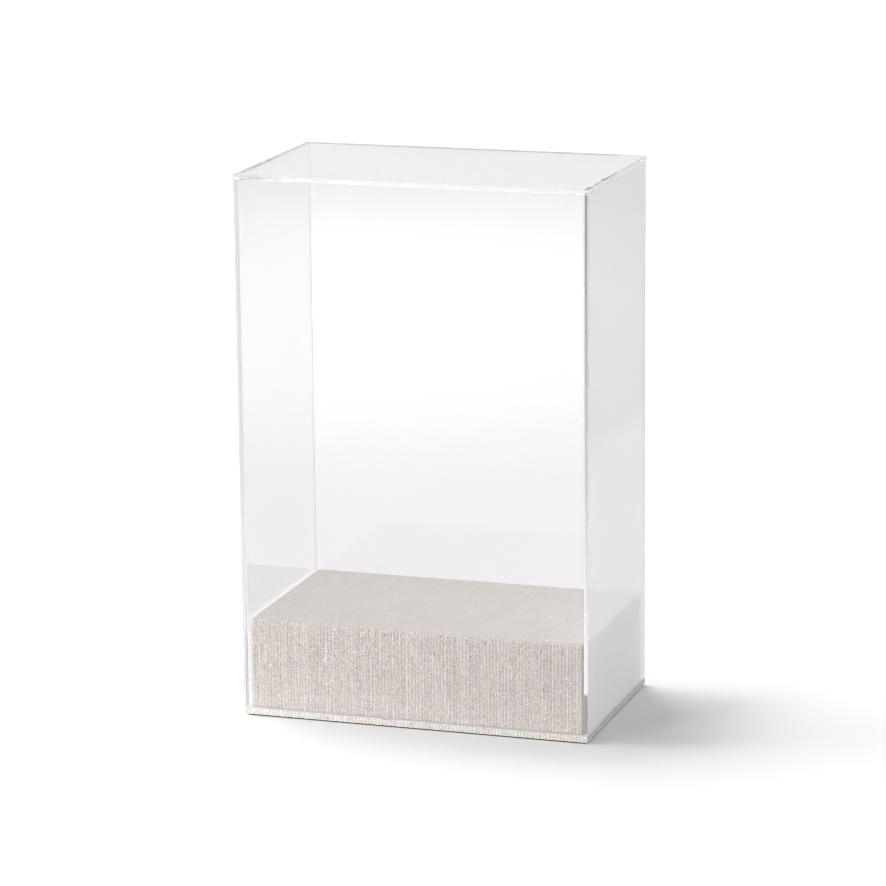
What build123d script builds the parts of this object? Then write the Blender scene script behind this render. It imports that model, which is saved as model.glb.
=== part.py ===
from build123d import *
import os

# Tall clear acrylic display case on a linen-covered base.
# The lift-off cover is five flat sheets of clear acrylic, solvent-bonded at
# their edges and open below. The base is a thin linen-covered board carrying a
# linen-covered box, the plinth, which the cover drops over.
# Millimetres, +Z up, front towards -Y, +X to the right.
# Origin: centre of the footprint on the surface that the case stands on.

# ---- driving dimensions ----
CASE_W = 230.0          # overall width, X
CASE_D = 137.0          # overall depth, Y
CASE_H = 351.0          # overall height, Z

SHEET_T = 3.0           # acrylic sheet
TOP_LIP = 0.3           # how far the top sheet stands proud of the walls
ARRIS = 0.35            # broken outer edges of the acrylic

LINING_T = 0.8          # felt lining under the base
LINING_INSET = 1.5      # lining edge to base edge
LINEN_T = 0.4           # linen cloth
BASE_T = 4.5            # linen-covered base board, cloth included
BASE_TURN_IN = 14.0     # cloth folded round under the base board
BASE_EDGE_R = 0.8       # rounding of the covered base board's edges

BOARD_T = 2.4           # binder's board of the plinth box
PLINTH_GAP = 0.7        # plinth cloth to cover wall, each side
PLINTH_TOP_Z = 63.8     # top of the plinth's cloth
PLINTH_EDGE_R = 1.8     # rounding of the covered plinth's edges
PLINTH_TURN_IN = 10.0   # cloth folded round under the plinth's walls
RIB_X = 37.0            # support ribs, left and right of the middle

os.makedirs("parts", exist_ok=True)


def block(x0, x1, y0, y1, z0, z1):
    """Box between two corners."""
    return Pos((x0 + x1) / 2, (y0 + y1) / 2, (z0 + z1) / 2) * Box(
        x1 - x0, y1 - y0, z1 - z0
    )


def rounded_block(w, d, z0, z1, r):
    """Box centred on the Z axis with its upright and top edges rounded."""
    b = block(-w / 2, w / 2, -d / 2, d / 2, z0, z1)
    b = fillet(b.edges().filter_by(Axis.Z), r)
    return fillet(b.faces().sort_by(Axis.Z)[-1].edges(), r)


def save(node, shape):
    """One closed solid, or several, written to parts/NODE.step."""
    solids = shape.solids()
    out = solids[0] if len(solids) == 1 else Compound(children=list(solids))
    out.label = node
    export_step(out, f"parts/{node}.step")
    print(f"{node:22s} solids {len(solids)}  volume {sum(s.volume for s in solids)/1000:9.3f} cm3")


# ---- levels ----
base_bottom = LINING_T
base_top = base_bottom + BASE_T
cover_bottom = base_top
top_under = CASE_H - SHEET_T

# ---- cover: front and back sheets span the full width and close the ends of
# the side sheets; the top sheet lies on all four walls ----
wx = CASE_W / 2 - TOP_LIP
wy = CASE_D / 2 - TOP_LIP


def edge_break(sheet, axis, pick):
    """Small chamfer on the edges along an axis that the test picks."""
    edges = [e for e in sheet.edges().filter_by(axis) if pick(e.center())]
    return chamfer(edges, ARRIS)


front = block(-wx, wx, -wy, -wy + SHEET_T, cover_bottom, top_under)
front = edge_break(front, Axis.Z, lambda c: c.Y < -wy + 0.1)
save("cover_front_panel", front)

back = block(-wx, wx, wy - SHEET_T, wy, cover_bottom, top_under)
back = edge_break(back, Axis.Z, lambda c: c.Y > wy - 0.1)
save("cover_back_panel", back)

side_y = wy - SHEET_T
save("cover_left_panel", block(-wx, -wx + SHEET_T, -side_y, side_y, cover_bottom, top_under))
save("cover_right_panel", block(wx - SHEET_T, wx, -side_y, side_y, cover_bottom, top_under))

top = block(-CASE_W / 2, CASE_W / 2, -CASE_D / 2, CASE_D / 2, top_under, CASE_H)
top = chamfer(top.faces().sort_by(Axis.Z)[-1].edges(), ARRIS)
top = chamfer(top.edges().filter_by(Axis.Z), ARRIS)
save("cover_top_panel", top)

# ---- base board, its cloth and its lining ----
base_outer = rounded_block(CASE_W, CASE_D, base_bottom, base_top, BASE_EDGE_R)
base_core = rounded_block(
    CASE_W - 2 * LINEN_T,
    CASE_D - 2 * LINEN_T,
    base_bottom + LINEN_T,
    base_top - LINEN_T,
    BASE_EDGE_R - LINEN_T,
)
save("base_board", base_core)

tx = CASE_W / 2 - BASE_TURN_IN
ty = CASE_D / 2 - BASE_TURN_IN
under_opening = block(-tx, tx, -ty, ty, base_bottom - 1, base_bottom + LINEN_T + 0.001)
save("base_linen", base_outer - base_core - under_opening)

lx = CASE_W / 2 - LINING_INSET
ly = CASE_D / 2 - LINING_INSET
lining = block(-lx, lx, -ly, ly, 0, LINING_T)
save("base_lining", fillet(lining.edges().filter_by(Axis.Z), 3.0))
# card that fills the shallow recess between the turned-in strips of cloth
save("base_filler", block(-tx + 0.5, tx - 0.5, -ty + 0.5, ty - 0.5, LINING_T, LINING_T + LINEN_T))

# ---- plinth: a box of binder's board under one sheet of cloth ----
pw = 2 * (wx - SHEET_T - PLINTH_GAP)
pd = 2 * (wy - SHEET_T - PLINTH_GAP)
plinth_outer = rounded_block(pw, pd, base_top, PLINTH_TOP_Z, PLINTH_EDGE_R)

cw = pw - 2 * LINEN_T
cd = pd - 2 * LINEN_T
core_z0 = base_top + LINEN_T
core_z1 = PLINTH_TOP_Z - LINEN_T
core = rounded_block(cw, cd, core_z0, core_z1, PLINTH_EDGE_R - LINEN_T)
deck_z = core_z1 - BOARD_T

save("plinth_top_board", core & block(-cw, cw, -cd, cd, deck_z, core_z1 + 1))
walls = core & block(-cw, cw, -cd, cd, core_z0 - 1, deck_z)
save("plinth_front_board", walls & block(-cw, cw, -cd, -cd / 2 + BOARD_T, 0, 100))
save("plinth_back_board", walls & block(-cw, cw, cd / 2 - BOARD_T, cd, 0, 100))
between = block(-cw, cw, -cd / 2 + BOARD_T, cd / 2 - BOARD_T, 0, 100)
save("plinth_left_board", walls & between & block(-cw, -cw / 2 + BOARD_T, -cd, cd, 0, 100))
save("plinth_right_board", walls & between & block(cw / 2 - BOARD_T, cw, -cd, cd, 0, 100))

rib_y = cd / 2 - BOARD_T
for name, x in (("plinth_left_rib", -RIB_X), ("plinth_right_rib", RIB_X)):
    save(name, block(x - BOARD_T / 2, x + BOARD_T / 2, -rib_y, rib_y, core_z0, deck_z))

# the cloth: over the top, down the four sides and folded in under the walls
inside = block(
    -cw / 2 + PLINTH_TURN_IN,
    cw / 2 - PLINTH_TURN_IN,
    -cd / 2 + PLINTH_TURN_IN,
    cd / 2 - PLINTH_TURN_IN,
    base_top - 1,
    core_z0 + 0.001,
)
save("plinth_linen", plinth_outer - core - inside)
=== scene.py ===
import math

import bmesh
import bpy
import numpy as np
from mathutils import Matrix, Vector


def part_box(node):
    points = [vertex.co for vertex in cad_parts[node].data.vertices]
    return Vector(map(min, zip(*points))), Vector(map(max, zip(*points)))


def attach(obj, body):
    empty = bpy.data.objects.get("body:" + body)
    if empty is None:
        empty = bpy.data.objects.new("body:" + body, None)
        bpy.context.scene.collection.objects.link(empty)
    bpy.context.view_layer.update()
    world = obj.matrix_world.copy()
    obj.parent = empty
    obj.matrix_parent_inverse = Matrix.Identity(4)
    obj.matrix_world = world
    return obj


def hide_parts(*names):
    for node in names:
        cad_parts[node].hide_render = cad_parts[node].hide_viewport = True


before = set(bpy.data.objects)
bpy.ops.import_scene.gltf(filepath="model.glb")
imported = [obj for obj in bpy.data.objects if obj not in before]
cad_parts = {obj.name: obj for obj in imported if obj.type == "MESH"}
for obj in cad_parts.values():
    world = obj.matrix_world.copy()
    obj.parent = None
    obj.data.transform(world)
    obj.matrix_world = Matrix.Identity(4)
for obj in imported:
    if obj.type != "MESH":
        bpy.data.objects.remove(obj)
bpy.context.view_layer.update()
scene = bpy.context.scene
MM = 0.001

# ------------------------------------------------------------------ camera
LENS_PX = 4008.664
FRAME_PX = 886.0
CAM_AT = Vector((0.77433660, -2.37557595, 0.75516791))
CAM_ROWS = (
    (0.95129618, 0.30813238, -0.00948829),  # image right
    (0.06134424, -0.21937127, -0.97371101),  # image down
    (-0.30211334, 0.92570551, -0.22758920),  # forward
)
cam_data = bpy.data.cameras.new("camera")
cam_data.sensor_width = 36.0
cam_data.lens = LENS_PX / FRAME_PX * 36.0
cam_data.clip_start, cam_data.clip_end = 0.05, 200.0
cam = bpy.data.objects.new("camera", cam_data)
scene.collection.objects.link(cam)
right, down, ahead = (Vector(r) for r in CAM_ROWS)
turn = Matrix((right, -down, -ahead)).transposed().to_4x4()
cam.matrix_world = Matrix.Translation(CAM_AT) @ turn
scene.camera = cam

# ------------------------------------------------------------------ light paths and tone
scene.view_settings.view_transform = "Standard"
scene.view_settings.look = "None"
scene.view_settings.exposure = 0.0
scene.cycles.max_bounces = 72
scene.cycles.transmission_bounces = 32
scene.cycles.glossy_bounces = 64
scene.cycles.diffuse_bounces = 5
scene.cycles.transparent_max_bounces = 48
scene.cycles.filter_width = 1.1


# ------------------------------------------------------------------ node helpers
class Tree:
    """Short calls for building a material's nodes."""

    def __init__(self, name):
        self.mat = bpy.data.materials.new(name)
        self.mat.use_nodes = True
        self.nt = self.mat.node_tree
        self.nt.nodes.clear()
        self.out = self.nt.nodes.new("ShaderNodeOutputMaterial")

    def node(self, kind, **values):
        n = self.nt.nodes.new(kind)
        for k, v in values.items():
            setattr(n, k, v)
        return n

    def link(self, a, b):
        self.nt.links.new(a, b)

    def put(self, socket, value):
        if hasattr(value, "is_output"):
            self.link(value, socket)
        else:
            socket.default_value = value

    def math(self, op, a, b=0.0, c=0.0, clamp=False):
        n = self.node("ShaderNodeMath", operation=op, use_clamp=clamp)
        for s, v in zip(n.inputs, (a, b, c)):
            self.put(s, v)
        return n.outputs[0]

    def mix(self, fac, a, b, kind="MIX"):
        n = self.node("ShaderNodeMix", data_type="RGBA", blend_type=kind)
        self.put(n.inputs["Factor"], fac)
        self.put(n.inputs["A"], a)
        self.put(n.inputs["B"], b)
        return n.outputs["Result"]

    def noise(self, vector, scale, detail=2.0, rough=0.5, distortion=0.0):
        n = self.node("ShaderNodeTexNoise")
        self.link(vector, n.inputs["Vector"])
        n.inputs["Scale"].default_value = scale
        n.inputs["Detail"].default_value = detail
        n.inputs["Roughness"].default_value = rough
        n.inputs["Distortion"].default_value = distortion
        return n.outputs["Fac"]

    def scaled(self, vector, scale):
        n = self.node("ShaderNodeMapping")
        self.link(vector, n.inputs["Vector"])
        n.inputs["Scale"].default_value = scale
        return n.outputs["Vector"]

    def ramp(self, fac, *stops):
        n = self.node("ShaderNodeValToRGB")
        self.put(n.inputs["Fac"], fac)
        e = n.color_ramp.elements
        while len(e) < len(stops):
            e.new(0.5)
        for el, (at, col) in zip(e, stops):
            el.position = at
            el.color = (*col, 1.0) if len(col) == 3 else col
        return n.outputs["Color"]

    def span(self, value, lo, hi, to_lo=0.0, to_hi=1.0, kind="LINEAR"):
        n = self.node("ShaderNodeMapRange", interpolation_type=kind)
        self.put(n.inputs["Value"], value)
        n.inputs["From Min"].default_value = lo
        n.inputs["From Max"].default_value = hi
        n.inputs["To Min"].default_value = to_lo
        n.inputs["To Max"].default_value = to_hi
        return n.outputs["Result"]


def assign(obj, mat):
    """Puts one material on all of a CAD node's slots."""
    if not obj.material_slots:
        obj.data.materials.append(None)
    for s in obj.material_slots:
        s.link = "OBJECT"
        s.material = mat


# ------------------------------------------------------------------ acrylic
def shadows_pass(t, surface, colour):
    """Light for other pieces goes straight through the sheet."""
    see = t.node("ShaderNodeBsdfTransparent")
    see.inputs["Color"].default_value = colour
    path = t.node("ShaderNodeLightPath")
    m = t.node("ShaderNodeMixShader")
    t.link(path.outputs["Is Shadow Ray"], m.inputs[0])
    t.link(surface, m.inputs[1])
    t.link(see.outputs[0], m.inputs[2])
    t.link(m.outputs[0], t.out.inputs["Surface"])


def haze(t, clear, most):
    """Fine haze on the outside of the surface, hardly seen face on and milky at a shallow angle, as static dust and polishing marks make it."""
    edge_on = t.node("ShaderNodeLayerWeight")
    edge_on.inputs["Blend"].default_value = 0.5
    outside = t.math("SUBTRACT", 1.0, t.node("ShaderNodeNewGeometry").outputs["Backfacing"])
    veil = t.node("ShaderNodeBsdfDiffuse")
    veil.inputs["Color"].default_value = (0.905, 0.89, 0.925, 1)
    m = t.node("ShaderNodeMixShader")
    amount = t.span(edge_on.outputs["Facing"], 0.12, 0.75, 0.008, most, "SMOOTHSTEP")
    t.link(t.math("MULTIPLY", amount, outside), m.inputs[0])
    t.link(clear, m.inputs[1])
    t.link(veil.outputs[0], m.inputs[2])
    return m.outputs[0]


def acrylic_material(name, veil):
    """Clear cast acrylic: smooth, a very faint cool tint, hair scratches and the odd wipe mark."""
    t = Tree(name)
    coords = t.node("ShaderNodeTexCoord").outputs["Object"]
    p = t.node("ShaderNodeBsdfPrincipled")
    p.inputs["Transmission Weight"].default_value = 1.0
    p.inputs["IOR"].default_value = 1.49
    tint = t.mix(t.noise(coords, 9.0, 2.0), (0.915, 0.907, 0.920, 1), (0.898, 0.892, 0.906, 1))
    t.link(tint, p.inputs["Base Color"])
    hair = t.noise(t.scaled(coords, (90.0, 90.0, 900.0)), 1.0, 2.0)
    wipe = t.noise(coords, 14.0, 3.0)
    rough = t.math("ADD", t.span(hair, 0.62, 0.75, 0.003, 0.012), t.span(wipe, 0.5, 0.75, 0.0, 0.006))
    t.link(rough, p.inputs["Roughness"])
    shadows_pass(t, haze(t, p.outputs[0], veil), (0.985, 0.983, 0.987, 1))
    return t.mat


def cut_edge_material(name, foot=False):
    """The sawn and flame-polished edge of a sheet: it glows a soft white, with fine lines across it left by the saw. The foot, which was left sawn, is white from the inside too."""
    t = Tree(name)
    coords = t.node("ShaderNodeTexCoord").outputs["Object"]
    p = t.node("ShaderNodeBsdfPrincipled")
    p.inputs["Transmission Weight"].default_value = 1.0
    p.inputs["IOR"].default_value = 1.49
    saw = t.noise(coords, 700.0, 2.0, 0.6)
    cloud = t.noise(coords, 45.0, 3.0)
    t.link(t.mix(t.span(cloud, 0.35, 0.65), (0.985, 0.985, 0.99, 1), (0.93, 0.93, 0.94, 1)), p.inputs["Base Color"])
    t.link(t.math("ADD", t.span(saw, 0.35, 0.7, 0.06, 0.12), t.span(cloud, 0.4, 0.7, 0.0, 0.05)), p.inputs["Roughness"])
    b = t.node("ShaderNodeBump")
    b.inputs["Strength"].default_value = 0.03
    b.inputs["Distance"].default_value = 0.00004
    t.link(saw, b.inputs["Height"])
    t.link(b.outputs[0], p.inputs["Normal"])
    bloom = t.node("ShaderNodeBsdfDiffuse")
    bloom.inputs["Color"].default_value = (0.93, 0.93, 0.94, 1)
    inside = t.node("ShaderNodeNewGeometry").outputs["Backfacing"]
    amount = t.math("MULTIPLY", t.math("SUBTRACT", 1.0, inside), t.span(cloud, 0.35, 0.7, 0.20, 0.28))
    if foot:
        amount = t.math("MAXIMUM", amount, t.math("MULTIPLY", inside, 0.72))
    m = t.node("ShaderNodeMixShader")
    t.link(amount, m.inputs[0])
    t.link(p.outputs[0], m.inputs[1])
    t.link(bloom.outputs[0], m.inputs[2])
    shadows_pass(t, m.outputs[0], (0.95, 0.95, 0.96, 1))
    return t.mat


def bond_material(name, voids, dry=False, milky=0.0):
    """Where two sheets are cemented: the joint passes light straight through, a little cloudy. voids is how much of it the cement missed."""
    t = Tree(name)
    coords = t.node("ShaderNodeTexCoord").outputs["Object"]
    at = t.node("ShaderNodeSeparateXYZ")
    t.link(coords, at.inputs[0])
    clear = t.node("ShaderNodeBsdfTransparent")
    cloud = t.noise(t.scaled(coords, (1.0, 1.0, 0.3)), 120.0, 3.0, 0.6)
    colour = t.mix(t.span(cloud, 0.35, 0.7), (0.99, 0.988, 0.99, 1), (0.975, 0.972, 0.975, 1))
    fine = t.noise(coords, 310.0, 3.0, 0.6)
    large = t.noise(coords, 30.0, 2.0)
    where = t.math("ADD", fine, t.span(large, 0.35, 0.65, -0.14, 0.10))
    missed = t.span(where, 0.60 - voids, 0.64 - voids, 0.0, 0.75)
    colour = t.mix(missed, colour, (0.42, 0.40, 0.42, 1))
    if dry == "back":  # a hair line along the inner side of the back left joint
        line = t.math("MULTIPLY", t.span(at.outputs[0], -0.11300, -0.11290), t.span(at.outputs[0], -0.11150, -0.11140, 1.0, 0.0))
        colour = t.mix(t.math("MULTIPLY", line, 0.45), colour, (0.20, 0.20, 0.21, 1))
    elif dry:  # a strip along the joint was left dry, most at the top
        edge = t.math("MULTIPLY_ADD", t.noise(t.scaled(coords, (1.0, 1.0, 0.4)), 60.0, 2.0), 0.0004, at.outputs[0])
        strip = t.math("MULTIPLY", t.span(edge, 0.11270, 0.11285), t.span(edge, 0.11400, 0.11415, 1.0, 0.0))
        deep = t.span(at.outputs[2], 0.06, 0.34, 0.10, 0.80)
        colour = t.mix(t.math("MULTIPLY", strip, deep), colour, (0.20, 0.20, 0.21, 1))
        # thin cement along the left joint, thinner still by the plinth
        thin = t.math("MULTIPLY", t.span(at.outputs[0], -0.11410, -0.11390), t.span(at.outputs[0], -0.11220, -0.11200, 1.0, 0.0))
        colour = t.mix(t.math("MULTIPLY", thin, t.span(at.outputs[2], 0.052, 0.058, 0.50, 0.22)), colour, (0.42, 0.43, 0.43, 1))
    t.link(colour, clear.inputs["Color"])
    surface = clear.outputs[0]
    if milky:  # thick cement that catches the light from above, but for dry dashes towards the front right
        dash = t.span(t.noise(t.scaled(coords, (5.0, 1.0, 1.0)), 85.0, 1.0), 0.50, 0.55)
        dash = t.math("MULTIPLY", dash, t.span(at.outputs[1], -0.01, 0.01, 1.0, 0.0))
        ends = t.math("MAXIMUM", t.span(at.outputs[0], 0.09, 0.10), t.span(at.outputs[0], -0.104, -0.101, 1.0, 0.0))
        dash = t.math("MULTIPLY", dash, ends)
        white = t.node("ShaderNodeBsdfDiffuse")
        t.link(t.mix(cloud, (0.95, 0.94, 0.95, 1), (0.82, 0.81, 0.83, 1)), white.inputs["Color"])
        t.link(t.mix(dash, colour, (0.25, 0.25, 0.26, 1)), clear.inputs["Color"])
        rest = t.span(at.outputs[0], 0.09, 0.10, milky, milky + 0.38)
        m = t.node("ShaderNodeMixShader")
        t.link(t.math("MULTIPLY", t.math("SUBTRACT", 1.0, dash), rest), m.inputs[0])
        t.link(surface, m.inputs[1])
        t.link(white.outputs[0], m.inputs[2])
        surface = m.outputs[0]
    t.link(surface, t.out.inputs["Surface"])
    return t.mat


ACRYLIC = acrylic_material("clear_acrylic", 0.06)
ACRYLIC_HAZED = acrylic_material("clear_acrylic_hazed", 0.56)  # one side sheet is visibly hazed
CUT_EDGE = cut_edge_material("polished_edge")
FOOT_EDGE = cut_edge_material("sawn_foot", foot=True)
BOND = bond_material("cement_bond", -0.20)
BOND_DRY = bond_material("cement_bond_dry", -0.20, dry=True)
BOND_BACK = bond_material("cement_bond_back", -0.20, dry="back")
BOND_TOP = bond_material("cement_bond_lid", -0.20, milky=0.22)
GAP = 0.01 * MM  # each sheet's cemented face stands this far back


def cut_box(name, xs, ys, zs, is_bond, arris, round_r, bond=None, main=None):
    """A sheet of acrylic: a box whose faces are cut at the given coordinates, so that cemented strips are faces of their own, with chosen edges polished round."""
    bm = bmesh.new()
    made = {}
    thin = min(range(3), key=lambda k: (xs, ys, zs)[k][-1] - (xs, ys, zs)[k][0])

    def vert(p):
        if p not in made:
            made[p] = bm.verts.new(p)
        return made[p]

    sides = (
        (0, xs[0], ys, zs, -1), (0, xs[-1], ys, zs, 1),
        (1, ys[0], xs, zs, -1), (1, ys[-1], xs, zs, 1),
        (2, zs[0], xs, ys, -1), (2, zs[-1], xs, ys, 1),
    )
    for axis, at, us, vs, sign in sides:
        for i in range(len(us) - 1):
            for j in range(len(vs) - 1):
                quad = []
                for u, v in ((us[i], vs[j]), (us[i + 1], vs[j]), (us[i + 1], vs[j + 1]), (us[i], vs[j + 1])):
                    p = {0: (at, u, v), 1: (u, at, v), 2: (u, v, at)}[axis]
                    quad.append(vert(p))
                if (sign > 0) == (axis == 1):
                    quad.reverse()
                f = bm.faces.new(quad)
                c = f.calc_center_median()
                n = Vector((0, 0, 0))
                n[axis] = sign
                f.material_index = 1 if is_bond(c, n) else (2 if axis != thin else 0)
                if thin != 2 and n.z < -0.5:
                    f.material_index = 3
    bmesh.ops.recalc_face_normals(bm, faces=bm.faces[:])
    chosen = []
    for e in bm.edges:
        a, b = (v.co for v in e.verts)
        if len(e.link_faces) == 2 and e.calc_face_angle() > 1.0 and arris((a + b) / 2, (b - a).normalized()):
            chosen.append(e)
    if chosen:
        bmesh.ops.bevel(
            bm, geom=chosen, offset=round_r, segments=4, profile=0.5,
            affect="EDGES", clamp_overlap=True, material=2,
        )
    for e in bm.edges:
        e.smooth = len(e.link_faces) == 2 and e.calc_face_angle() < 0.7
    me = bpy.data.meshes.new(name)
    bm.to_mesh(me)
    bm.free()
    for f in me.polygons:
        f.use_smooth = True
    me.materials.append(main or ACRYLIC)
    me.materials.append(bond or BOND)
    me.materials.append(CUT_EDGE)
    me.materials.append(FOOT_EDGE)
    o = bpy.data.objects.new(name, me)
    scene.collection.objects.link(o)
    smooth = o.modifiers.new("even_faces", "WEIGHTED_NORMAL")
    smooth.keep_sharp = True
    smooth.weight = 100
    return o


def near(a, b, tol=0.05 * MM):
    return abs(a - b) < tol


lo_f, hi_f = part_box("cover_front_panel")
lo_b, hi_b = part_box("cover_back_panel")
lo_l, hi_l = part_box("cover_left_panel")
lo_r, hi_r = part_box("cover_right_panel")
lo_t, hi_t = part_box("cover_top_panel")
ROUND = 0.35 * MM
z_foot, z_seam = lo_f.z, lo_t.z

# the front and back sheets close the ends of the side sheets
front = cut_box(
    "front_sheet",
    [lo_f.x, hi_l.x, lo_r.x, hi_f.x],
    [lo_f.y, hi_f.y - GAP],
    [z_foot, z_seam - GAP],
    lambda c, n: (n.y > 0.5 and (c.x < hi_l.x or c.x > lo_r.x)) or n.z > 0.5,
    lambda m, d: abs(d.z) > 0.9 and near(m.y, lo_f.y),
    ROUND,
    bond=BOND_DRY,
)
back = cut_box(
    "back_sheet",
    [lo_b.x, hi_l.x, lo_r.x, hi_b.x],
    [lo_b.y + GAP, hi_b.y],
    [z_foot, z_seam - GAP],
    lambda c, n: (n.y < -0.5 and (c.x < hi_l.x or c.x > lo_r.x)) or n.z > 0.5,
    lambda m, d: abs(d.z) > 0.9 and near(m.y, hi_b.y),
    ROUND,
    bond=BOND_BACK,
)
left = cut_box(
    "left_sheet",
    [lo_l.x, hi_l.x],
    [lo_l.y + GAP, hi_l.y - GAP],
    [z_foot, z_seam - GAP],
    lambda c, n: abs(n.y) > 0.5 or n.z > 0.5,
    lambda m, d: False,
    ROUND,
)
right_sheet = cut_box(
    "right_sheet",
    [lo_r.x, hi_r.x],
    [lo_r.y + GAP, hi_r.y - GAP],
    [z_foot, z_seam - GAP],
    lambda c, n: abs(n.y) > 0.5 or n.z > 0.5,
    lambda m, d: False,
    ROUND,
    main=ACRYLIC_HAZED,
)


def over_wall(c):
    inside_x = hi_l.x < c.x < lo_r.x
    inside_y = hi_f.y < c.y < lo_b.y
    proud = c.x < lo_f.x or c.x > hi_f.x or c.y < lo_f.y or c.y > hi_b.y
    return not proud and not (inside_x and inside_y)


top = cut_box(
    "top_sheet",
    [lo_t.x, lo_f.x, hi_l.x, lo_r.x, hi_f.x, hi_t.x],
    [lo_t.y, lo_f.y, hi_f.y, lo_b.y, hi_b.y, hi_t.y],
    [z_seam + GAP, hi_t.z],
    lambda c, n: n.z < -0.5 and over_wall(c),
    lambda m, d: near(m.z, hi_t.z)
    or (abs(d.z) > 0.9 and (near(abs(m.x), hi_t.x) and near(abs(m.y), hi_t.y))),
    ROUND,
    bond=BOND_TOP,
)
for piece, node in (
    (front, "cover_front_panel"), (back, "cover_back_panel"), (left, "cover_left_panel"),
    (right_sheet, "cover_right_panel"), (top, "cover_top_panel"),
):
    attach(piece, "cover")
    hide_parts(node)

# ------------------------------------------------------------------ linen
RIB = 2.15  # mm, pitch of the thick warp threads


def seeded(seed, n):
    return np.random.default_rng(seed).random(n)


def smooth_noise(x, seed, period):
    """Smooth one-dimensional noise of a given period, from -1 to 1."""
    table = seeded(seed, 4096) * 2 - 1
    k = np.floor(x / period).astype(int)
    f = x / period - k
    f = f * f * (3 - 2 * f)
    return table[k % 4096] * (1 - f) + table[(k + 1) % 4096] * f


def rib_height(u, v, seed):
    """Height from 0 to 1 of the cloth's ribs, at flat cloth coordinates in mm: u across the warp, v along it. Also each thread's own tone."""
    drift = 0.30 * smooth_noise(u, seed, 17.0) + 0.10 * smooth_noise(v + 31.7 * np.floor(u / RIB), seed + 1, 23.0)
    phase = u / RIB + drift
    thread = np.floor(phase).astype(int)
    wave = 0.5 - 0.5 * np.cos(2 * np.pi * phase)
    wave = wave ** 1.6
    strong = 0.55 + 0.45 * seeded(seed + 2, 4096)[thread % 4096]
    along = 0.80 + 0.20 * smooth_noise(v + 57.3 * thread, seed + 3, 6.5)
    slub = np.clip(smooth_noise(v + 91.1 * thread, seed + 4, 9.0) - 0.62, 0, 1) * 1.3
    tone = seeded(seed + 5, 4096)[thread % 4096]
    tone = 0.65 * tone + 0.35 * (0.5 + 0.5 * smooth_noise(v + 13.7 * thread, seed + 6, 8.0))
    return wave * strong * along + slub * wave, tone


def cloth_mesh(name, faces, seed, relief, centre):
    """faces is a list of (points, flat coordinates, normals, strength of ribs), each on a grid of rows and columns. Points are pushed out along the normals by the ribs, and joined where edges match."""
    verts, quads, height, tone, up, uvs = [], [], [], [], [], []
    base = 0
    for pts, flat, nor, strength in faces:
        rows, cols, _ = pts.shape
        h, tn = rib_height(flat[..., 0], flat[..., 1], seed)
        out = pts + nor * (h * strength * relief)[..., None]
        verts.append(out.reshape(-1, 3))
        height.append((h * np.clip(strength * 1.5, 0, 1)).reshape(-1))
        tone.append(tn.reshape(-1))
        up.append(np.clip(strength * 1.25 - 0.25, 0, 1).reshape(-1))
        uvs.append(flat.reshape(-1, 2))
        i = np.arange(rows * cols).reshape(rows, cols) + base
        quads.append(np.stack([i[:-1, :-1], i[:-1, 1:], i[1:, 1:], i[1:, :-1]], -1).reshape(-1, 4))
        base += rows * cols
    verts, quads = np.concatenate(verts), np.concatenate(quads)
    height, tone, up, uvs = (np.concatenate(k) for k in (height, tone, up, uvs))
    me = bpy.data.meshes.new(name)
    me.from_pydata((verts * MM).tolist(), [], quads.tolist())
    # faces look outwards
    a = me.attributes.new("rib", "FLOAT", "POINT")
    a.data.foreach_set("value", height.astype(np.float32))
    a = me.attributes.new("tone", "FLOAT", "POINT")
    a.data.foreach_set("value", tone.astype(np.float32))
    a = me.attributes.new("upright", "FLOAT", "POINT")
    a.data.foreach_set("value", up.astype(np.float32))
    uv = me.uv_layers.new(name="cloth")
    loops = np.zeros(len(me.loops), np.int32)
    me.loops.foreach_get("vertex_index", loops)
    uv.data.foreach_set("uv", (uvs[loops] * MM).astype(np.float32).reshape(-1))
    bm = bmesh.new()
    bm.from_mesh(me)
    bmesh.ops.remove_doubles(bm, verts=bm.verts[:], dist=0.0004 * MM)
    flip = [f for f in bm.faces if f.normal.dot(f.calc_center_median() - centre) < 0]
    bmesh.ops.reverse_faces(bm, faces=flip)
    for f in bm.faces:
        f.smooth = True
    bm.to_mesh(me)
    bm.free()
    o = bpy.data.objects.new(name, me)
    scene.collection.objects.link(o)
    return o


def spaced(lo, hi, step):
    n = max(2, int(round((hi - lo) / step)) + 1)
    return np.linspace(lo, hi, n)


def edged(lo, hi, step, r, k=4, low=True, high=True):
    """Coordinates from lo to hi, a step apart, with k finer steps in the rounded stretch at either end."""
    parts = []
    a, b = (lo + r if low else lo), (hi - r if high else hi)
    if low:
        parts.append(lo + r * (1 - np.tan(np.linspace(np.pi / 4, 0, k + 1)))[:-1])
    parts.append(spaced(a, b, step))
    if high:
        parts.append(hi - r * (1 - np.tan(np.linspace(0, np.pi / 4, k + 1)))[1:])
    return np.concatenate(parts)


def rounded(p, half, z0, z1, r, foot):
    """Moves points of a sharp box to the box with rounded upright and top edges, and bottom ones if foot is set. Also the normals."""
    q = np.empty_like(p)
    q[..., 0] = np.clip(p[..., 0], -half[0] + r, half[0] - r)
    q[..., 1] = np.clip(p[..., 1], -half[1] + r, half[1] - r)
    q[..., 2] = np.clip(p[..., 2], z0 + r if foot else z0, z1 - r)
    d = p - q
    n = d / np.maximum(np.linalg.norm(d, axis=-1, keepdims=True), 1e-9)
    return q + n * r, n


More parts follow.
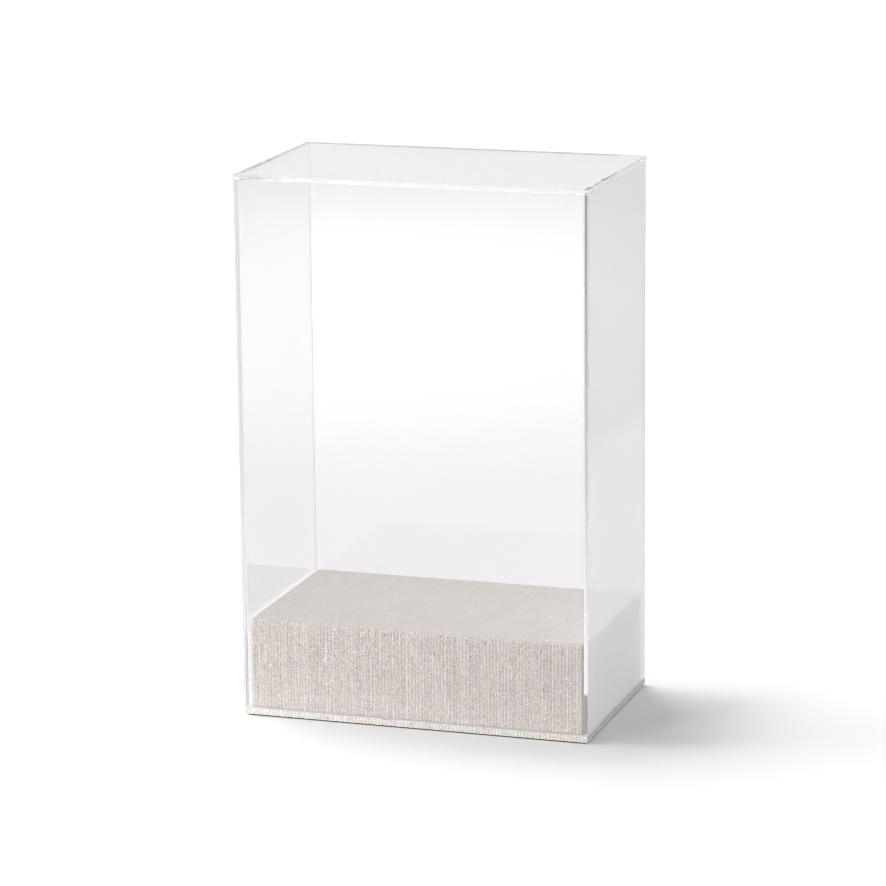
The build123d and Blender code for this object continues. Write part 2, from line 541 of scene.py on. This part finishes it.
def wrapped(name, half, z0, z1, r, step, along, turn_in, seed, relief, strengths, z_step=None, foot=False):
    """A sheet of cloth over a box's top and down its four sides, folded in below. half is (x, y) half sizes in mm."""
    hx, hy = half
    z_step = z_step or along
    xs = edged(-hx, hx, step, r)
    ys = edged(-hy, hy, along, r)
    zc = edged(z0, z1, z_step, r, low=foot)
    zf = edged(z0, z1, step, r, low=foot)
    faces = []
    s_top, s_front, s_side = strengths
    fade_x = np.clip((hx - np.abs(xs)) / 1.5, 0, 1)

    # top
    X, Y = np.meshgrid(xs, ys)
    p, n = rounded(np.stack([X, Y, np.full_like(X, z1)], -1), half, z0, z1, r, foot)
    near_front = np.clip(1 - (hy - np.abs(Y)) / 3.0, 0, 1)
    st = s_top + (s_front - s_top) * near_front
    near_side = np.clip(1 - (hx - np.abs(X)) / 3.0, 0, 1)
    st = st * (1 - near_side) + s_side * near_side
    corner = np.minimum(hx - np.abs(X), hy - np.abs(Y)) * 0 + np.clip(np.hypot(np.maximum(np.abs(X) - hx + 4, 0), np.maximum(np.abs(Y) - hy + 4, 0)) / 4 - 0.4, 0, 1)
    st = st * (1 - np.clip(corner, 0, 1))
    top_st = st
    faces.append((p, np.stack([X, Y], -1), n, st))
    # front and back
    for sign in (-1, 1):
        X, Z = np.meshgrid(xs, zc)
        p, n = rounded(np.stack([X, np.full_like(X, sign * hy), Z], -1), half, z0, z1, r, foot)
        st = s_front * np.broadcast_to(fade_x, X.shape).copy()
        st[-1] = top_st[0 if sign < 0 else -1]
        faces.append((p, np.stack([X, sign * (hy + z1 - Z)], -1), n, st))
    # left and right
    fade_y = np.clip((hy - np.abs(ys)) / 1.5, 0, 1)
    for sign in (-1, 1):
        Z, Y = np.meshgrid(zf, ys)
        p, n = rounded(np.stack([np.full_like(Y, sign * hx), Y, Z], -1), half, z0, z1, r, foot)
        st = s_side * np.broadcast_to(fade_y[:, None], Y.shape).copy()
        st[:, -1] = top_st[:, 0 if sign < 0 else -1]
        faces.append((p, np.stack([sign * (hx + z1 - Z), Y], -1), n, st))
    # folded in below, flat
    lift = 0.03
    for sign in (-1, 1):
        for k in (0, 1):
            along_s = xs if k == 0 else ys
            h0, h1 = (hx, hy) if k == 0 else (hy, hx)
            depth = r * (1 - np.tan(np.linspace(np.pi / 4, 0, 5))) if foot else np.zeros(1)
            depth = np.concatenate([depth, [turn_in / 2, turn_in]])
            S, T = np.meshgrid(along_s, depth)
            shrink = (h0 - T) / h0
            across = sign * (h1 - T)
            coords = np.stack([S * shrink, across, np.full_like(S, z0)], -1)
            if k == 1:
                coords = coords[..., [1, 0, 2]]
            coords, _ = rounded(coords, half, z0, z1, r, foot)
            coords[..., 2] += lift * (T > depth[-3] + 0.01)
            flat = np.stack([S, sign * (h1 + z1 - z0 + T)], -1)
            if k == 1:
                flat = flat[..., [1, 0]]
            n = np.zeros_like(coords)
            n[..., 2] = -1
            faces.append((coords, flat, n, np.zeros_like(S)))
    centre = Vector((0, 0, (z0 + z1) / 2 * MM))
    return cloth_mesh(name, faces, seed, relief, centre)


def linen_material(name, light, mid, dark):
    """Natural linen: a bead for each crossing of the threads, every one its own tone, with slubs and fibres' soft
    sheen. Painted light and shade: beads and rib crests lighter and grooves darker, more so on the upright sides; the
    top darker; the sides lighter towards the foot.
    """
    t = Tree(name)
    uv = t.node("ShaderNodeUVMap", uv_map="cloth").outputs["UV"]
    rib = t.node("ShaderNodeAttribute", attribute_name="rib").outputs["Fac"]
    tone = t.node("ShaderNodeAttribute", attribute_name="tone").outputs["Fac"]
    upright = t.node("ShaderNodeAttribute", attribute_name="upright").outputs["Fac"]
    bend = t.node("ShaderNodeTexNoise")
    t.link(t.scaled(uv, (140.0, 60.0, 1.0)), bend.inputs["Vector"])
    bend.inputs["Scale"].default_value = 1.0
    shift = t.node("ShaderNodeVectorMath", operation="MULTIPLY_ADD")
    t.link(bend.outputs["Color"], shift.inputs[0])
    shift.inputs[1].default_value = (0.0009, 0.0009, 0.0)
    t.link(uv, shift.inputs[2])
    # one cell for each bead: columns along the warp, each with beads of its own length
    place = t.node("ShaderNodeSeparateXYZ")
    t.link(shift.outputs[0], place.inputs[0])
    across = t.math("MULTIPLY", place.outputs[0], 1000.0 / 0.90)
    column = t.math("FLOOR", across)
    chance = t.node("ShaderNodeTexWhiteNoise", noise_dimensions="1D")
    t.link(column, chance.inputs["W"])
    pitch = t.span(chance.outputs["Value"], 0.0, 1.0, 1000.0 / 1.20, 1000.0 / 0.90)
    along = t.math("MULTIPLY_ADD", place.outputs[1], pitch, t.math("MULTIPLY", chance.outputs["Value"], 37.0))
    cell = t.node("ShaderNodeCombineXYZ")
    t.link(column, cell.inputs[0])
    t.link(t.math("FLOOR", along), cell.inputs[1])
    white = t.node("ShaderNodeTexWhiteNoise", noise_dimensions="2D")
    t.link(cell.outputs[0], white.inputs["Vector"])
    own = t.node("ShaderNodeSeparateColor")
    t.link(white.outputs["Color"], own.inputs[0])

    def arch(value):
        part = t.math("FRACT", value)
        return t.math("MULTIPLY", t.math("MULTIPLY", part, t.math("SUBTRACT", 1.0, part)), 4.0)

    # painted light and shade: each bead is coloured lighter in its middle and darker where it meets the next; the same
    # shape also makes the bump
    bead = t.math("MULTIPLY", arch(across), arch(along))
    fibre = t.noise(t.scaled(uv, (4200.0, 1500.0, 1.0)), 1.0, 2.0, 0.6)
    patch = t.noise(t.scaled(uv, (55.0, 42.0, 1.0)), 1.0, 3.0, 0.6)
    warm = t.noise(t.scaled(uv, (80.0, 62.0, 1.0)), 1.0, 2.0, 0.55)
    # painted light: the weave's tone contrast is strongest on the upright sides, where light grazes them, and weaker on
    # the top
    grazing_light_contrast = t.span(upright, 0.0, 1.0, 0.40, 1.0)

    def add(level, value, amount, fade=True):
        step = t.math("MULTIPLY", t.math("SUBTRACT", value, 0.5), amount)
        if fade:
            step = t.math("MULTIPLY", step, grazing_light_contrast)
        return t.math("ADD", level, step)

    level = add(0.50, own.outputs[0], 0.42)
    level = add(level, bead, 0.34)
    level = add(level, fibre, 0.20)
    level = add(level, patch, 0.14, False)
    streak = t.math("MULTIPLY", t.math("SUBTRACT", tone, 0.5), t.math("MULTIPLY", upright, 0.16))
    level = t.math("ADD", level, streak)
    # painted light and shade: the rib crests coloured lighter and the grooves between them darker, on the upright sides
    # only
    painted_rib_light_and_shade = t.math("MULTIPLY", t.math("SUBTRACT", t.math("POWER", rib, 1.6), 0.20), t.math("MULTIPLY", upright, 0.50))
    level = t.math("ADD", level, painted_rib_light_and_shade, clamp=True)
    # painted shade: the top of the cloth is coloured darker than its sides
    level = t.math("SUBTRACT", level, t.math("MULTIPLY", t.math("SUBTRACT", 1.0, upright), 0.12), clamp=True)
    # painted light: the sides are coloured lighter towards the foot of the plinth, standing for the light the floor
    # throws back onto them
    height = t.node("ShaderNodeSeparateXYZ")
    t.link(t.node("ShaderNodeTexCoord").outputs["Object"], height.inputs[0])
    foot = t.math("MULTIPLY", t.span(height.outputs[2], 0.0055, 0.0060), t.span(height.outputs[2], 0.012, 0.034, 1.0, 0.0))
    level = t.math("ADD", level, t.math("MULTIPLY", t.math("MULTIPLY", foot, upright), 0.10), clamp=True)
    colour = t.ramp(level, (0.0, dark), (0.5, mid), (1.0, light))
    colour = t.mix(upright, t.mix(1.0, colour, (0.945, 0.968, 0.995, 1), "MULTIPLY"), colour)
    # pinker and yellower patches
    colour = t.mix(t.span(warm, 0.36, 0.64), t.mix(1.0, colour, (1.0, 0.972, 0.988, 1), "MULTIPLY"),
                   t.mix(1.0, colour, (0.995, 1.0, 0.952, 1), "MULTIPLY"))
    # slubs: a few small dark and light knots
    knot = t.node("ShaderNodeTexVoronoi", voronoi_dimensions="2D", feature="F1")
    t.link(t.scaled(shift.outputs[0], (105.0, 150.0, 1.0)), knot.inputs["Vector"])
    knot.inputs["Scale"].default_value = 1.0
    kc = t.node("ShaderNodeSeparateColor")
    t.link(knot.outputs["Color"], kc.inputs[0])
    spot = t.span(knot.outputs["Distance"], 0.06, 0.13, 1.0, 0.0)
    darker = t.math("MULTIPLY", spot, t.span(kc.outputs[0], 0.86, 0.93, 0.0, 0.60))
    lighter = t.math("MULTIPLY", spot, t.span(kc.outputs[1], 0.84, 0.93, 0.0, 0.60))
    colour = t.mix(darker, colour, (0.22, 0.17, 0.14, 1))
    colour = t.mix(lighter, colour, (0.95, 0.92, 0.88, 1))
    p = t.node("ShaderNodeBsdfPrincipled")
    t.link(colour, p.inputs["Base Color"])
    t.link(t.span(own.outputs[1], 0.0, 1.0, 0.84, 0.98), p.inputs["Roughness"])
    p.inputs["Specular IOR Level"].default_value = 0.2
    p.inputs["Sheen Weight"].default_value = 0.12
    p.inputs["Sheen Roughness"].default_value = 0.5
    p.inputs["Sheen Tint"].default_value = (0.97, 0.94, 0.91, 1)
    relief = t.math("ADD", bead, t.math("MULTIPLY", own.outputs[2], 0.6))
    relief = t.math("ADD", relief, t.math("MULTIPLY", fibre, 0.25))
    b = t.node("ShaderNodeBump")
    b.inputs["Strength"].default_value = 0.55
    b.inputs["Distance"].default_value = 0.00012
    t.link(relief, b.inputs["Height"])
    t.link(b.outputs[0], p.inputs["Normal"])
    t.link(p.outputs[0], t.out.inputs["Surface"])
    return t.mat


LINEN = linen_material("natural_linen", (0.84, 0.80, 0.758), (0.615, 0.572, 0.528), (0.34, 0.30, 0.262))
# painted light: a lighter copy of the same linen for the base's rim, which stands in the light outside the cover
LINEN_LIT_COPY = linen_material("natural_linen_rim_lit_copy", (0.94, 0.92, 0.895), (0.75, 0.725, 0.70), (0.50, 0.47, 0.44))

lo_p, hi_p = (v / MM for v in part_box("plinth_linen"))
plinth = wrapped(
    "plinth_cloth", (hi_p.x - 0.22, hi_p.y - 0.22), lo_p.z, hi_p.z - 0.12, 1.8,
    RIB / 5, 2.2, 10.0, 11, 0.15, (0.2, 1.0, 0.85), z_step=1.5,
)
plinth.data.materials.append(LINEN)
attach(plinth, "base")
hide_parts("plinth_linen")

lo_c, hi_c = (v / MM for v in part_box("base_linen"))
base = wrapped(
    "base_cloth", (hi_c.x - 0.15, hi_c.y - 0.15), lo_c.z, hi_c.z - 0.10, 0.8,
    RIB / 5, 2.4, 14.0, 23, 0.13, (0.2, 1.0, 0.85), z_step=0.7, foot=True,
)
base.data.materials.append(LINEN_LIT_COPY)
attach(base, "base")
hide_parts("base_linen")


# ------------------------------------------------------------------ boards, card and lining
def board_material():
    """Binder's board: grey-brown pressed paper with flecks and faint darker clouds."""
    t = Tree("binders_board")
    coords = t.node("ShaderNodeTexCoord").outputs["Object"]
    fleck = t.noise(coords, 1400.0, 3.0, 0.7)
    cloud = t.noise(coords, 60.0, 3.0)
    colour = t.ramp(fleck, (0.3, (0.20, 0.18, 0.155)), (0.52, (0.36, 0.335, 0.30)), (0.75, (0.50, 0.47, 0.43)))
    colour = t.mix(t.span(cloud, 0.35, 0.7, 0.0, 0.35), colour, (0.30, 0.27, 0.235, 1))
    p = t.node("ShaderNodeBsdfPrincipled")
    t.link(colour, p.inputs["Base Color"])
    t.link(t.span(fleck, 0.3, 0.7, 0.8, 0.95), p.inputs["Roughness"])
    b = t.node("ShaderNodeBump")
    b.inputs["Strength"].default_value = 0.5
    b.inputs["Distance"].default_value = 0.0001
    t.link(fleck, b.inputs["Height"])
    t.link(b.outputs[0], p.inputs["Normal"])
    t.link(p.outputs[0], t.out.inputs["Surface"])
    return t.mat


def felt_material():
    """Dark brown-grey felt: matted fibres in two sizes."""
    t = Tree("lining_felt")
    coords = t.node("ShaderNodeTexCoord").outputs["Object"]
    fine = t.noise(coords, 2600.0, 3.0, 0.7, 1.5)
    tuft = t.noise(coords, 320.0, 4.0, 0.6, 0.8)
    colour = t.ramp(t.math("MULTIPLY_ADD", fine, 0.6, t.math("MULTIPLY", tuft, 0.4)),
                    (0.32, (0.055, 0.047, 0.040)), (0.5, (0.10, 0.088, 0.076)), (0.72, (0.18, 0.16, 0.14)))
    p = t.node("ShaderNodeBsdfPrincipled")
    t.link(colour, p.inputs["Base Color"])
    p.inputs["Roughness"].default_value = 0.97
    p.inputs["Sheen Weight"].default_value = 0.4
    p.inputs["Sheen Roughness"].default_value = 0.6
    b = t.node("ShaderNodeBump")
    b.inputs["Strength"].default_value = 0.8
    b.inputs["Distance"].default_value = 0.0002
    t.link(t.math("ADD", fine, tuft), b.inputs["Height"])
    t.link(b.outputs[0], p.inputs["Normal"])
    t.link(p.outputs[0], t.out.inputs["Surface"])
    return t.mat


BOARD = board_material()
FELT = felt_material()
for node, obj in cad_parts.items():
    if node == "base_lining":
        assign(obj, FELT)
    elif node.endswith(("_board", "_rib", "_filler")):
        assign(obj, BOARD)

# ------------------------------------------------------------------ floor and light
fl = bpy.data.meshes.new("floor")
bm = bmesh.new()
bmesh.ops.create_grid(bm, x_segments=8, y_segments=8, size=30.0)
bm.to_mesh(fl)
bm.free()
floor = bpy.data.objects.new("floor", fl)
scene.collection.objects.link(floor)
FLOOR_WHITE = 0.908


def seen_by_reflection(nt):
    """1 for what a reflection shows, 0 for what is seen or lit directly."""
    path = nt.nodes.new("ShaderNodeLightPath")
    either = nt.nodes.new("ShaderNodeMath")
    either.operation = "MAXIMUM"
    nt.links.new(path.outputs["Is Glossy Ray"], either.inputs[0])
    nt.links.new(path.outputs["Is Transmission Ray"], either.inputs[1])
    deep = nt.nodes.new("ShaderNodeMath")
    deep.operation = "GREATER_THAN"
    nt.links.new(path.outputs["Glossy Depth"], deep.inputs[0])
    deep.inputs[1].default_value = 0.5
    both = nt.nodes.new("ShaderNodeMath")
    both.operation = "MULTIPLY"
    nt.links.new(either.outputs[0], both.inputs[0])
    nt.links.new(deep.outputs[0], both.inputs[1])
    return both.outputs[0], path


t = Tree("floor_paper")
fcoords = t.node("ShaderNodeTexCoord").outputs["Object"]
p = t.node("ShaderNodeBsdfPrincipled")
t.link(t.mix(t.noise(fcoords, 3.0, 3.0), (0.905, 0.905, 0.905, 1), (0.912, 0.910, 0.912, 1)), p.inputs["Base Color"])
p.inputs["Roughness"].default_value = 0.95
p.inputs["Specular IOR Level"].default_value = 0.0
# painted reflection: reflections see the floor as a glow instead of its lit paper, 1.15 near the object falling to 1.00
# further back, and darker past x = 0.33 m, standing for a darker studio to the right
sep = t.node("ShaderNodeSeparateXYZ")
t.link(fcoords, sep.inputs[0])
reflected, lp = seen_by_reflection(t.nt)
once = t.math("MULTIPLY", t.math("LESS_THAN", lp.outputs["Glossy Depth"], 3.5), t.math("LESS_THAN", lp.outputs["Transmission Depth"], 2.5))
# painted reflection: the glow's strength by distance behind the object
paper = t.span(sep.outputs[1], 0.15, 0.65, 1.15, 1.00)
paper = t.math("MAXIMUM", paper, t.math("MULTIPLY", t.math("SUBTRACT", 1.0, once), 1.00))
painted_darker_side = t.math("MULTIPLY", t.span(sep.outputs[0], 0.322, 0.338), once)
glow = t.node("ShaderNodeEmission")
t.link(t.math("ADD", t.math("MULTIPLY", paper, t.math("SUBTRACT", 1.0, painted_darker_side)), t.math("MULTIPLY", painted_darker_side, 0.66)), glow.inputs["Strength"])
m = t.node("ShaderNodeMixShader")
t.link(reflected, m.inputs[0])
t.link(p.outputs[0], m.inputs[1])
t.link(glow.outputs[0], m.inputs[2])
t.link(m.outputs[0], t.out.inputs["Surface"])
floor.data.materials.append(t.mat)


def sun(name, azimuth, elevation, angle, share):
    """A soft distant light. azimuth is where it comes from, 0 from +Y and 90 from -X; share is what it adds to the floor's brightness."""
    d = bpy.data.lights.new(name, "SUN")
    d.angle = math.radians(angle)
    a, e = math.radians(azimuth), math.radians(elevation)
    back_to = Vector((-math.sin(a) * math.cos(e), math.cos(a) * math.cos(e), math.sin(e)))
    side = back_to.cross(Vector((0, 0, 1))).normalized()
    over = side.cross(back_to)
    total = 0.0
    for k in range(400):  # mean height of the part of the disc above the floor
        r = math.tan(math.radians(angle / 2)) * math.sqrt((k + 0.5) / 400)
        total += max(0.0, (back_to + r * (math.cos(k * 2.39996) * side + math.sin(k * 2.39996) * over)).normalized().z)
    d.energy = share * math.pi / FLOOR_WHITE / (total / 400)
    o = bpy.data.objects.new(name, d)
    o.rotation_mode = "QUATERNION"
    o.rotation_quaternion = back_to.to_track_quat("Z", "Y")
    o.location = back_to * 5
    o.visible_glossy = False
    o.visible_transmission = False
    scene.collection.objects.link(o)
    return o


sun("key", 90, 23, 42, 0.37)
sun("key_back", 48, 28, 42, 0.28)
sun("high_front", 228, 38, 60, 0.18)
sun("high_back", 345, 50, 60, 0.11)

# a softbox low at the front left, near enough to fade across the object
d = bpy.data.lights.new("front_box", "AREA")
d.shape = "SQUARE"
d.size = 0.36
d.energy = 4.9
o = bpy.data.objects.new("front_box", d)
o.location = (-0.58, -0.80, 0.22)
o.rotation_mode = "QUATERNION"
o.rotation_quaternion = (o.location - Vector((-0.03, -0.06, 0.06))).to_track_quat("Z", "Y")
o.visible_glossy = False
o.visible_transmission = False
scene.collection.objects.link(o)

# a round glow on the paper behind the object
d = bpy.data.lights.new("paper_glow", "SPOT")
d.energy = 68.0
d.shadow_soft_size = 0.1
d.spot_size = math.radians(36)
d.spot_blend = 1.0
o = bpy.data.objects.new("paper_glow", d)
o.location = (-0.58, 1.20, 2.5)
o.visible_glossy = False
o.visible_transmission = False
scene.collection.objects.link(o)

world = bpy.data.worlds.new("studio")
scene.world = world
world.use_nodes = True
wt = world.node_tree
wt.nodes.clear()


def w_node(kind, **values):
    n = wt.nodes.new(kind)
    for k, v in values.items():
        setattr(n, k, v)
    return n


def w_pick(fac, a, b):
    n = w_node("ShaderNodeMix", data_type="FLOAT")
    wt.links.new(fac, n.inputs["Factor"])
    for s, v in ((n.inputs["A"], a), (n.inputs["B"], b)):
        if hasattr(v, "is_output"):
            wt.links.new(v, s)
        else:
            s.default_value = v
    return n.outputs["Result"]


w_out = w_node("ShaderNodeOutputWorld")
w_bg = w_node("ShaderNodeBackground")
w_geo = w_node("ShaderNodeTexCoord")
w_sep = w_node("ShaderNodeSeparateXYZ")
wt.links.new(w_geo.outputs["Generated"], w_sep.inputs[0])
# in reflections: bright to the left, where the large softbox is, and dim to the right
w_map = w_node("ShaderNodeMapRange")
wt.links.new(w_sep.outputs[0], w_map.inputs["Value"])
w_map.inputs["From Min"].default_value = -1.0
w_map.inputs["From Max"].default_value = 0.4
w_map.inputs["To Min"].default_value = 1.26
w_map.inputs["To Max"].default_value = 0.52
w_path = w_node("ShaderNodeLightPath")
w_direct = w_node("ShaderNodeMath", operation="MAXIMUM")
wt.links.new(w_path.outputs["Is Camera Ray"], w_direct.inputs[0])
wt.links.new(w_path.outputs["Is Transmission Ray"], w_direct.inputs[1])
strength = w_pick(w_direct.outputs[0], 0.05, 1.12)
strength = w_pick(seen_by_reflection(wt)[0], strength, w_map.outputs["Result"])
w_bg.inputs["Color"].default_value = (1.0, 1.0, 1.0, 1)
wt.links.new(strength, w_bg.inputs["Strength"])
wt.links.new(w_bg.outputs[0], w_out.inputs["Surface"])
